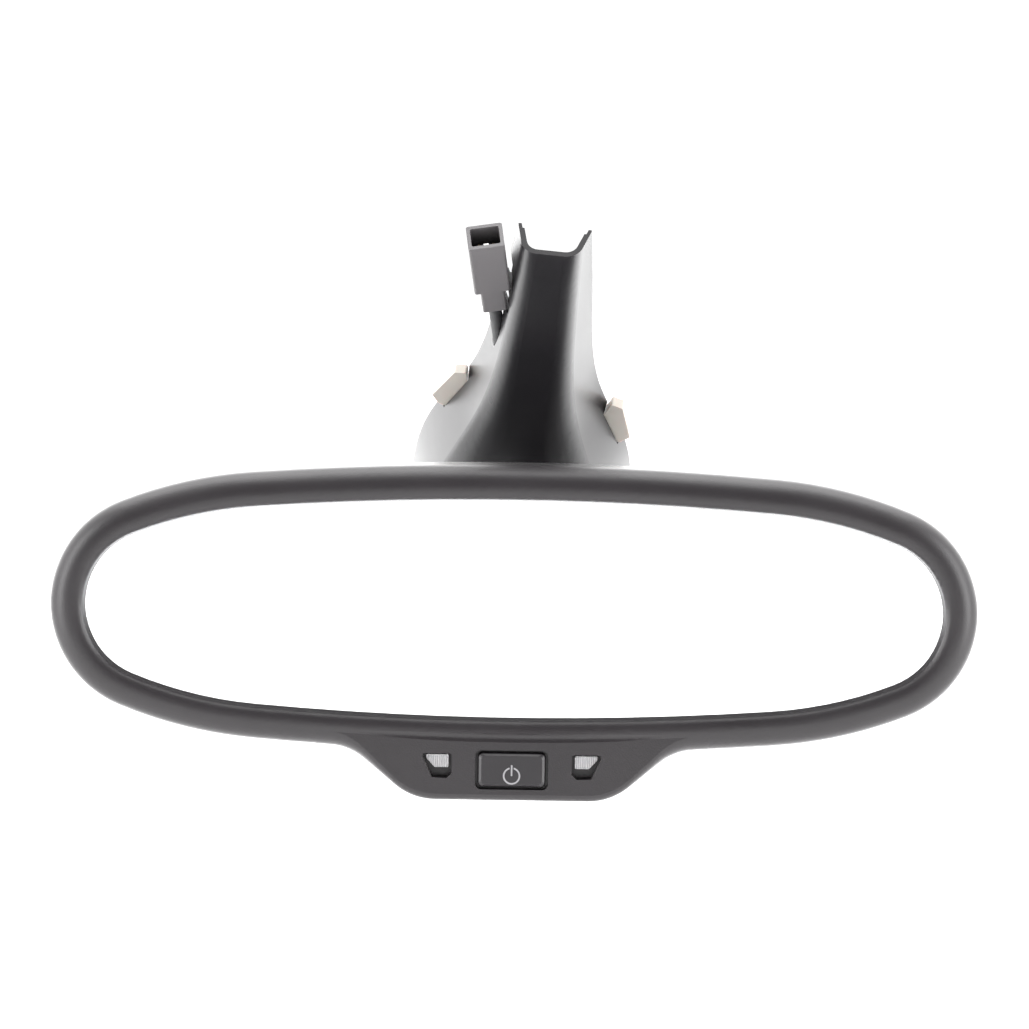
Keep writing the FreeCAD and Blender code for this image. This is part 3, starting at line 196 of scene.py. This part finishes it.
def small_plastics():
    """Connector, bracket, latch, carrier, liner, component bodies and the printed symbol."""
    return [
        grained_plastic("connector_plastic", (0.068, 0.064, 0.067), (0.088, 0.083, 0.086),
                        roughness=0.45, grain_mm=0.2, depth_mm=0.015, strength=0.4),
        grained_plastic("ivory_plastic", (0.33, 0.30, 0.27), (0.38, 0.35, 0.31),
                        roughness=0.42, grain_mm=0.3, depth_mm=0.02, strength=0.35,
                        Subsurface_Weight=0.15, Subsurface_Scale=0.002),
        grained_plastic("white_plastic", (0.78, 0.78, 0.76), (0.84, 0.84, 0.82),
                        roughness=0.4, grain_mm=0.2, depth_mm=0.01, strength=0.3),
        grained_plastic("carrier_plastic", (0.05, 0.05, 0.052), (0.08, 0.08, 0.082),
                        roughness=0.5, grain_mm=0.3, depth_mm=0.03),
        grained_plastic("bearing_plastic", (0.70, 0.70, 0.66), (0.76, 0.76, 0.72),
                        roughness=0.35, grain_mm=0.2, depth_mm=0.01, strength=0.3),
        grained_plastic("component_black", (0.012, 0.012, 0.013), (0.02, 0.02, 0.021),
                        roughness=0.5, grain_mm=0.12, depth_mm=0.01),
        grained_plastic("symbol_grey", (0.20, 0.195, 0.205), (0.24, 0.235, 0.245),
                        roughness=0.45, grain_mm=0.12, depth_mm=0.006, strength=0.3)]


def mirror_glass():
    """Silvered glass with barely visible polishing marks."""
    glass = Shade("mirror_glass", (0.93, 0.94, 0.95), 0.01, Metallic=1.0)
    glass.color(glass.noise(14.0), (0.93, 0.94, 0.95), (0.95, 0.955, 0.96))
    glass.rough(glass.noise(30.0, detail=5.0), smoothest=0.0, roughest=0.012)
    return glass


def soft_parts():
    """The seal's silicone, the adhesive foam pad and the gel between the two glasses."""
    rubber = grained_plastic("seal_rubber", (0.02, 0.02, 0.02), (0.03, 0.03, 0.03),
                             roughness=0.7, grain_mm=0.3, depth_mm=0.02)
    foam = Shade("pad_foam", (0.05, 0.05, 0.055), 0.9)
    pores = foam.cells(900.0)
    foam.color(pores, (0.03, 0.03, 0.035), (0.07, 0.07, 0.075))
    foam.bump(pores, strength=0.8, depth_mm=0.15)
    gel = Shade("gel", (0.75, 0.82, 0.85), 0.05, Transmission_Weight=0.9, IOR=1.45)
    gel.color(gel.noise(20.0), (0.72, 0.80, 0.83), (0.78, 0.84, 0.87))
    return [rubber, foam, gel]


def metals():
    """Contacts, screws, springs, the castings, and the arm's black paint."""
    contact = bare_metal("contact_metal", (0.72, 0.60, 0.34), (0.80, 0.70, 0.45),
                         roughness=0.28, brushed=(1, 12, 1))
    screw = bare_metal("screw_steel", (0.50, 0.50, 0.50), (0.62, 0.62, 0.60),
                       roughness=0.3, brushed=(8, 1, 8))
    spring = bare_metal("spring_steel", (0.30, 0.31, 0.34), (0.42, 0.42, 0.44),
                        roughness=0.3, brushed=(1, 10, 1))
    cast = bare_metal("cast_metal", (0.46, 0.47, 0.48), (0.56, 0.57, 0.58), roughness=0.45)
    cast.bump(cast.noise(1400.0, detail=4.0), strength=0.5, depth_mm=0.05)
    arm = Shade("arm_black", (0.02, 0.02, 0.022), 0.4, Coat_Weight=0.25, Coat_Roughness=0.3)
    arm.color(arm.noise(60.0, detail=4.0), (0.016, 0.016, 0.018), (0.026, 0.026, 0.028))
    arm.rough(arm.noise(200.0, detail=4.0), smoothest=0.34, roughest=0.5)
    arm.bump(arm.noise(2200.0, detail=3.0), strength=0.35, depth_mm=0.05)
    return [contact, screw, spring, cast, arm]


def board_green():
    """Solder mask over a faint pattern of tracks."""
    board = Shade("board_green", (0.02, 0.13, 0.06), 0.35, Coat_Weight=0.3, Coat_Roughness=0.2)
    tracks = board.cells(260.0, place=board.stretch((1, 1, 0.35)))
    board.color(tracks, (0.015, 0.11, 0.05), (0.03, 0.17, 0.08))
    board.bump(tracks, strength=0.3, depth_mm=0.04)
    return board


def smoked_lens():
    """The light pipe's dark clear plastic."""
    smoked = Shade("smoked_lens", (0.03, 0.03, 0.035), 0.08, Coat_Weight=0.6, Coat_Roughness=0.05)
    smoked.color(smoked.noise(80.0), (0.02, 0.02, 0.024), (0.04, 0.04, 0.046))
    smoked.rough(smoked.noise(400.0), smoothest=0.05, roughest=0.12)
    return smoked


def cable_sheath():
    """The soft black sheath of the harness and the lead."""
    sheath = Shade("cable_black", (0.015, 0.015, 0.016), 0.55)
    sheath.color(sheath.noise(120.0, detail=3.0), (0.012, 0.012, 0.013), (0.022, 0.022, 0.024))
    sheath.rough(sheath.noise(300.0, detail=3.0), smoothest=0.45, roughest=0.62)
    sheath.bump(sheath.noise(1800.0), strength=0.4, depth_mm=0.05)
    return sheath


def lens_white():
    """The lamp windows: translucent white, its light scattered alike in all three colours."""
    lens = Shade("lens_white", (0.52, 0.52, 0.53), 0.35, Subsurface_Weight=0.3, Subsurface_Scale=0.001,
                 Subsurface_Radius=(1.0, 1.0, 1.0), Coat_Weight=0.2, Coat_Roughness=0.2)
    lens.color(lens.noise(500.0), (0.40, 0.395, 0.405), (0.47, 0.465, 0.475))
    lens.rough(lens.noise(700.0, detail=3.0), smoothest=0.2, roughest=0.32)
    lens.bump(lens.noise(3000.0), strength=0.2, depth_mm=0.02)
    return lens


def make_materials():
    shades = [*outer_plastics(), *small_plastics(), mirror_glass(), *soft_parts(), *metals(),
              board_green(), smoked_lens(), cable_sheath(), lens_white()]
    return {shade.name: shade.material for shade in shades}


# ---------------------------------------------------------------- the object
def dress_cad_nodes():
    """Give every CAD node the procedural material of its slot."""
    materials = make_materials()
    slots = {row["node"]: row["material_slot"] for row in frame["record"]["subparts"]}
    for name, node in frame["nodes"].items():
        node.data.materials.clear()
        node.data.materials.append(materials[slots[name]])


def make_springy_mat():
    """The rubber mat behind the button, a copy of its CAD node hung from the head in place of the hidden
    original.
    """
    node = frame["nodes"]["button_mat"]
    mat = node.copy()
    mat.data = node.data.copy()
    mat.name = "springy_button_mat"
    bpy.context.scene.collection.objects.link(mat)
    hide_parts("button_mat")
    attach(mat, "head")
    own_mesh(mat)


# ---------------------------------------------------------------- studio
def make_floor():
    """Matt white paper well below the object."""
    drop = 0.12
    width = 12.0
    low, _ = CAD_BOX
    bpy.ops.mesh.primitive_plane_add(size=width, location=(0, 0, low[2] - drop))
    floor = bpy.context.object
    floor.name = "studio_floor"
    paper = Shade("studio_paper", (0.93, 0.93, 0.93), 0.9)
    paper.color(paper.noise(6.0, detail=3.0), (0.92, 0.92, 0.92), (0.94, 0.94, 0.94))
    floor.data.materials.append(paper.material)


def make_sky():
    """Light that grows from a dim room on the camera's side to a bright backdrop behind the object.

    The camera itself sees plain white all round.
    """
    dim_room = 0.22
    bright_backdrop = 3.3
    seen_white = 1.1
    room_side = -0.75
    backdrop_side = 0.55
    world = bpy.data.worlds.new("studio_air")
    bpy.context.scene.world = world
    world.use_nodes = True
    nodes, links = world.node_tree.nodes, world.node_tree.links
    split = nodes.new("ShaderNodeSeparateXYZ")
    links.new(nodes.new("ShaderNodeTexCoord").outputs["Generated"], split.inputs["Vector"])
    depth = nodes.new("ShaderNodeMapRange")
    depth.interpolation_type = "SMOOTHSTEP"
    depth.inputs["From Min"].default_value = room_side
    depth.inputs["From Max"].default_value = backdrop_side
    depth.inputs["To Min"].default_value = dim_room
    depth.inputs["To Max"].default_value = bright_backdrop
    links.new(split.outputs["Y"], depth.inputs["Value"])
    strength = nodes.new("ShaderNodeMix")
    strength.data_type = "FLOAT"
    links.new(nodes.new("ShaderNodeLightPath").outputs["Is Camera Ray"], strength.inputs["Factor"])
    links.new(depth.outputs["Result"], strength.inputs["A"])
    strength.inputs["B"].default_value = seen_white
    background = nodes["Background"]
    background.inputs["Color"].default_value = (1.0, 1.0, 1.0, 1.0)
    links.new(strength.outputs["Result"], background.inputs["Strength"])


def softbox(name, place, aim, wide, high, watts):
    """A soft rectangular lamp placed from the head's centre and turned towards a point by it."""
    lamp = bpy.data.lights.new(name, "AREA")
    lamp.shape = "RECTANGLE"
    lamp.size = wide
    lamp.size_y = high
    lamp.energy = watts
    holder = bpy.data.objects.new(name, lamp)
    bpy.context.scene.collection.objects.link(holder)
    holder.location = HEAD + Vector(place)
    away = holder.location - (HEAD + Vector(aim))
    holder.rotation_euler = away.to_track_quat("Z", "Y").to_euler()
    holder.visible_camera = False
    return holder


def make_lamps():
    """Two tall boxes at the sides, a wide one above, and a card that lights the mirror glass alone."""
    for name, x in (("left_box", -0.9), ("right_box", 0.9)):
        softbox(name, place=(x, -0.35, 0.2), aim=(0, 0, 0.03), wide=0.5, high=0.9, watts=13.0)
    softbox("top_box", place=(0, 0.1, 0.9), aim=(0, 0, 0), wide=1.2, high=0.8, watts=12.0)
    card = softbox("glass_card", place=(0, -1.5, -0.14), aim=(0, 0, 0), wide=1.6, high=0.5, watts=3.2)
    only_glass = bpy.data.collections.new("glass_card_receivers")
    only_glass.objects.link(frame["nodes"]["mirror_front_glass"])
    card.light_linking.receiver_collection = only_glass


def make_camera():
    """Nearly level and square to the head, a little above it, with a long lens."""
    distance = 1.2
    elevation = math.radians(5.0)
    roll = math.radians(0.9)
    picture_width = 0.2725
    head_below_centre = 0.0252
    head_right_of_centre = 0.0003
    sensor_mm = 36.0
    lens_camera = bpy.data.cameras.new("camera")
    lens_camera.sensor_width = sensor_mm
    lens_camera.lens = sensor_mm * distance / picture_width
    camera = bpy.data.objects.new("camera", lens_camera)
    bpy.context.scene.collection.objects.link(camera)
    toward = Vector((0, -math.cos(elevation), math.sin(elevation)))
    up = Vector((0, math.sin(elevation), math.cos(elevation)))
    right = Vector((1, 0, 0))
    target = HEAD + up * head_below_centre - right * head_right_of_centre
    turned_up = up * math.cos(roll) - right * math.sin(roll)
    turned_right = right * math.cos(roll) + up * math.sin(roll)
    basis = Matrix((turned_right, turned_up, toward)).transposed().to_4x4()
    basis.translation = target + toward * distance
    camera.matrix_world = basis
    bpy.context.scene.camera = camera


dress_cad_nodes()
make_springy_mat()
make_floor()
make_sky()
make_lamps()
make_camera()
bpy.context.scene.view_settings.view_transform = "Standard"
